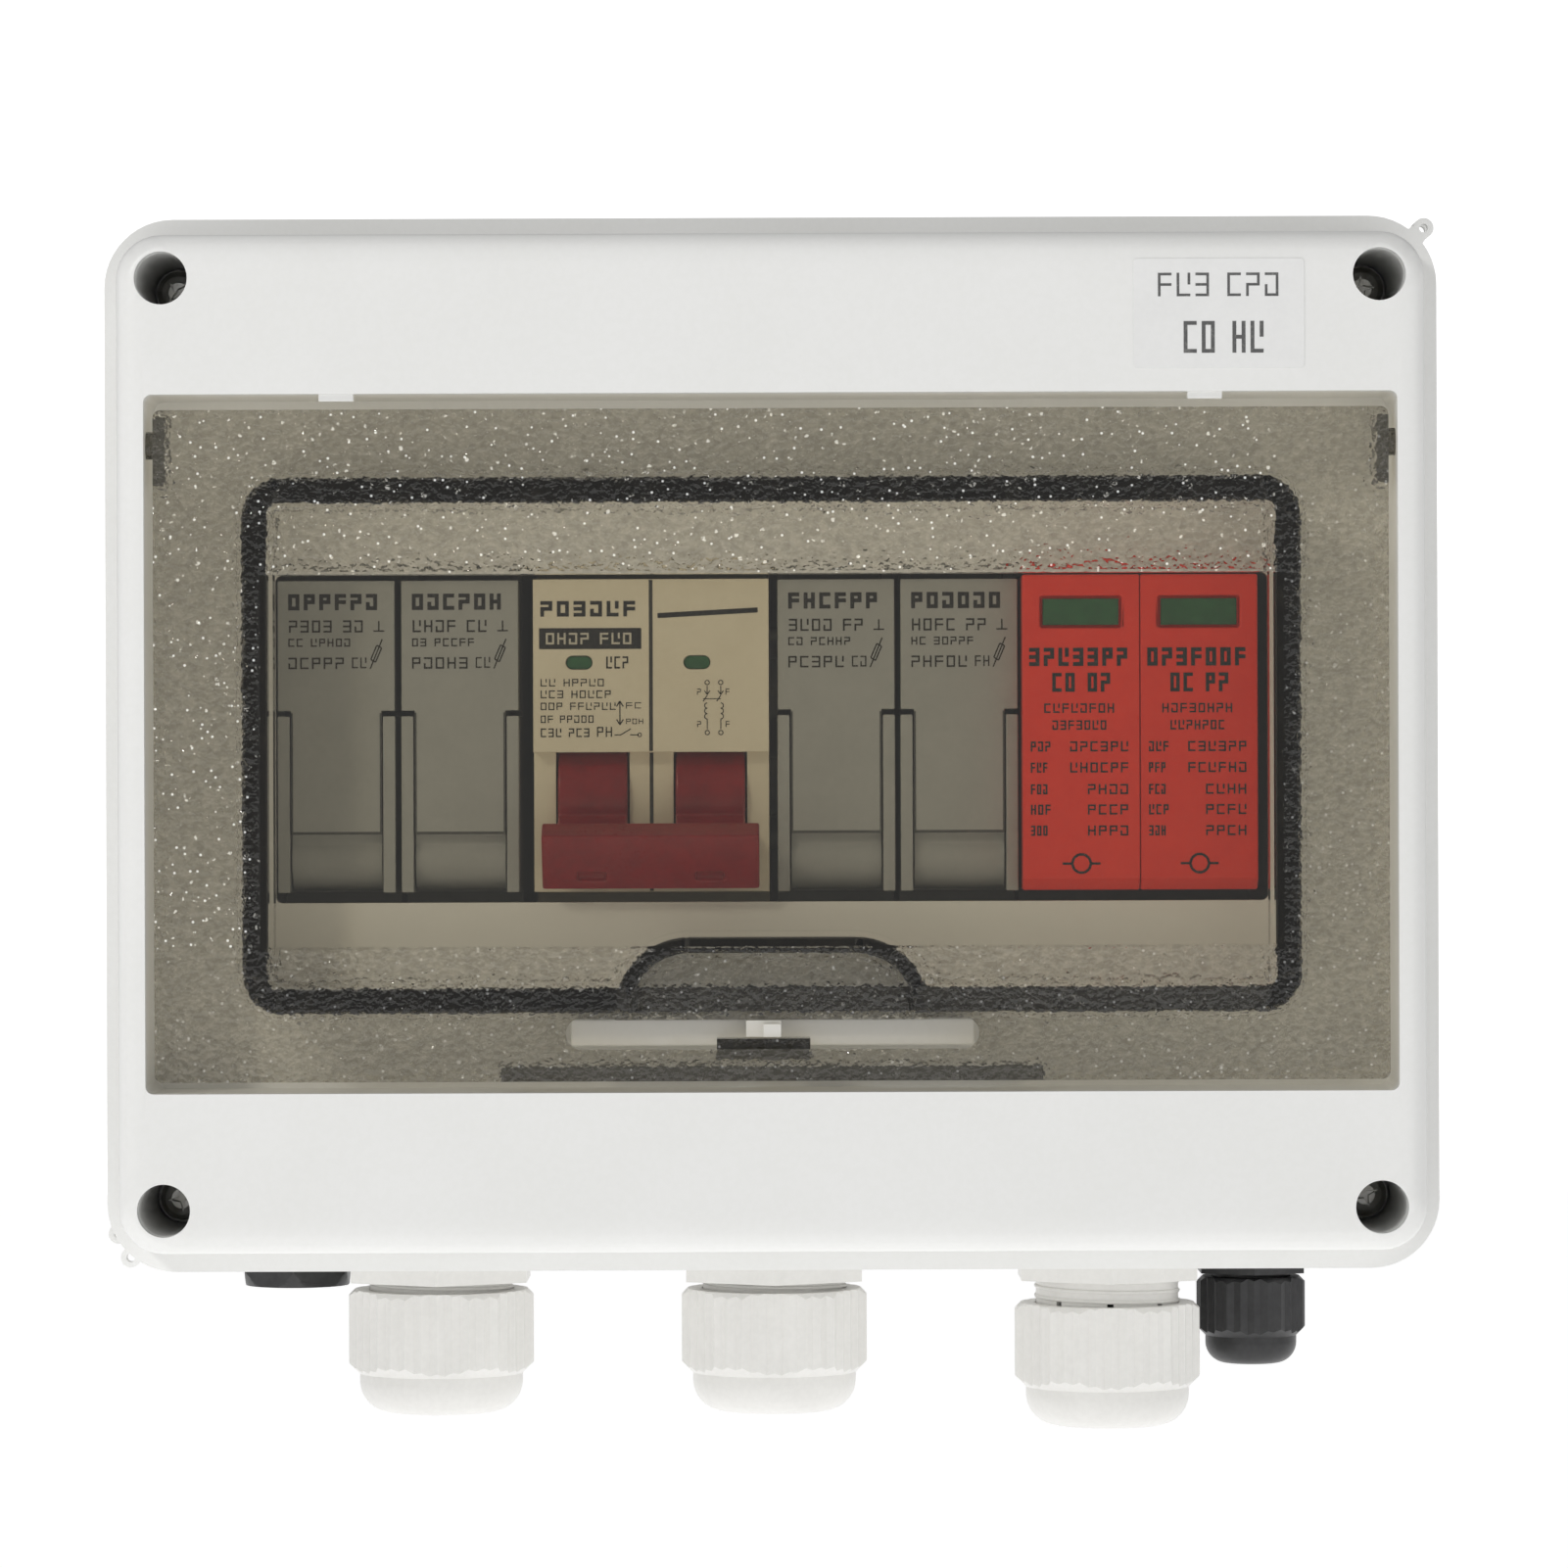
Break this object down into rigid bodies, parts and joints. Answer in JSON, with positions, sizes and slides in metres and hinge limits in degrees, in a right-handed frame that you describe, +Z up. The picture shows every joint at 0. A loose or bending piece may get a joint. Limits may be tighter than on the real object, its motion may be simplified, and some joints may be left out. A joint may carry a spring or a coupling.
{
  "type": "DC combiner box",
  "caption": "Wall-mounted DC combiner box: hinged smoked window over fuse holders, breaker and surge arrester, cable glands below.",
  "frame": {"origin": "middle of the flat back face, on the wall plane", "axes": "+Z up, +X to the right seen from the front, +Y into the wall; the door faces -Y"},
  "size_m": [0.2003, 0.0951, 0.1842],
  "materials": {
    "shell_white": "fine moulded matt",
    "smoke_window": "smoked, pebbled with a clear window",
    "rubber_black": "matt",
    "label_white": "satin film",
    "zinc_steel": "zinc plated",
    "clip_black": "moulded",
    "holder_grey": "moulded satin",
    "fuse_ceramic": "glazed tube with plated ferrules",
    "contact_copper": "tinned copper",
    "breaker_cream": "moulded satin",
    "lever_red": "moulded gloss",
    "flag_green": "printed under a clear lens",
    "surge_grey": "moulded satin",
    "surge_red": "moulded satin",
    "bus_red": "insulation",
    "bus_black": "insulation",
    "gland_white": "nylon satin",
    "gland_black": "nylon gloss"
  },
  "bodies": {
    "enclosure": {"base_shell": "shell_white", "cover_shell": "shell_white", "rim_seal": "rubber_black", "gland_seal_1": "rubber_black", "gland_seal_2": "rubber_black", "gland_seal_3": "rubber_black", "gland_washers": "rubber_black", "earth_gland_seal": "rubber_black", "small_washers": "rubber_black", "cover_screws": "zinc_steel", "din_rail": "zinc_steel", "rail_screws": "zinc_steel", "terminal_clamps": "zinc_steel", "terminal_screws": "zinc_steel", "label": "label_white", "rail_clips": "clip_black", "fuse_body_1": "holder_grey", "fuse_body_2": "holder_grey", "fuse_body_3": "holder_grey", "fuse_body_4": "holder_grey", "fuse_clips": "contact_copper", "breaker_pole_left": "breaker_cream", "breaker_pole_right": "breaker_cream", "breaker_flags": "flag_green", "surge_base": "surge_grey", "plus_bus": "bus_red", "minus_bus": "bus_black", "gland_body_1": "gland_white", "gland_body_2": "gland_white", "gland_body_3": "gland_white", "gland_locknuts": "gland_white", "earth_gland_body": "gland_black", "plug": "gland_black", "small_locknuts": "gland_black"},
    "door": {"door": "smoke_window", "door_seal": "rubber_black"},
    "lever": {"breaker_handle": "lever_red"},
    "earth_cap": {"earth_gland_cap": "gland_black"},
    "carrier_1": {"fuse_carrier_1": "holder_grey", "fuse_link_1": "fuse_ceramic"},
    "carrier_2": {"fuse_carrier_2": "holder_grey", "fuse_link_2": "fuse_ceramic"},
    "carrier_3": {"fuse_carrier_3": "holder_grey", "fuse_link_3": "fuse_ceramic"},
    "carrier_4": {"fuse_carrier_4": "holder_grey", "fuse_link_4": "fuse_ceramic"},
    "cartridge_1": {"surge_cartridge_1": "surge_red", "surge_flag_1": "flag_green"},
    "cartridge_2": {"surge_cartridge_2": "surge_red", "surge_flag_2": "flag_green"},
    "cap_1": {"gland_cap_1": "gland_white"},
    "cap_2": {"gland_cap_2": "gland_white"},
    "cap_3": {"gland_cap_3": "gland_white"}
  },
  "joints": [
    {"name": "door_hinge", "type": "hinge", "parent": "enclosure", "child": "door", "pos_m": [0, -0.09, 0.0435], "axis": [-1, 0, 0], "range_deg": [0, 110]},
    {"name": "lever_throw", "type": "hinge", "parent": "enclosure", "child": "lever", "pos_m": [-0.0178, -0.066, -0.008], "axis": [-1, 0, 0], "range_deg": [0, 56]},
    {"name": "carrier_1_swing", "type": "hinge", "parent": "enclosure", "child": "carrier_1", "pos_m": [-0.0644, -0.0684, -0.017], "axis": [1, 0, 0], "range_deg": [0, 16]},
    {"name": "carrier_2_swing", "type": "hinge", "parent": "enclosure", "child": "carrier_2", "pos_m": [-0.0461, -0.0684, -0.017], "axis": [1, 0, 0], "range_deg": [0, 16]},
    {"name": "carrier_3_swing", "type": "hinge", "parent": "enclosure", "child": "carrier_3", "pos_m": [0.00955, -0.0684, -0.017], "axis": [1, 0, 0], "range_deg": [0, 16]},
    {"name": "carrier_4_swing", "type": "hinge", "parent": "enclosure", "child": "carrier_4", "pos_m": [0.02775, -0.0684, -0.017], "axis": [1, 0, 0], "range_deg": [0, 16]},
    {"name": "cartridge_1_pull", "type": "slide", "parent": "enclosure", "child": "cartridge_1", "axis": [0, -1, 0], "range_m": [0, 0.012]},
    {"name": "cartridge_2_pull", "type": "slide", "parent": "enclosure", "child": "cartridge_2", "axis": [0, -1, 0], "range_m": [0, 0.012]},
    {"name": "cap_1_turn", "type": "hinge", "parent": "enclosure", "child": "cap_1", "pos_m": [-0.0515, -0.03, -0.09], "axis": [0, 0, 1], "continuous": true},
    {"name": "cap_2_turn", "type": "hinge", "parent": "enclosure", "child": "cap_2", "pos_m": [0, -0.03, -0.09], "axis": [0, 0, 1], "continuous": true},
    {"name": "cap_3_turn", "type": "hinge", "parent": "enclosure", "child": "cap_3", "pos_m": [0.0515, -0.03, -0.09], "axis": [0, 0, 1], "continuous": true},
    {"name": "earth_cap_turn", "type": "hinge", "parent": "enclosure", "child": "earth_cap", "pos_m": [0.0745, -0.019, -0.088], "axis": [0, 0, 1], "continuous": true}
  ]
}
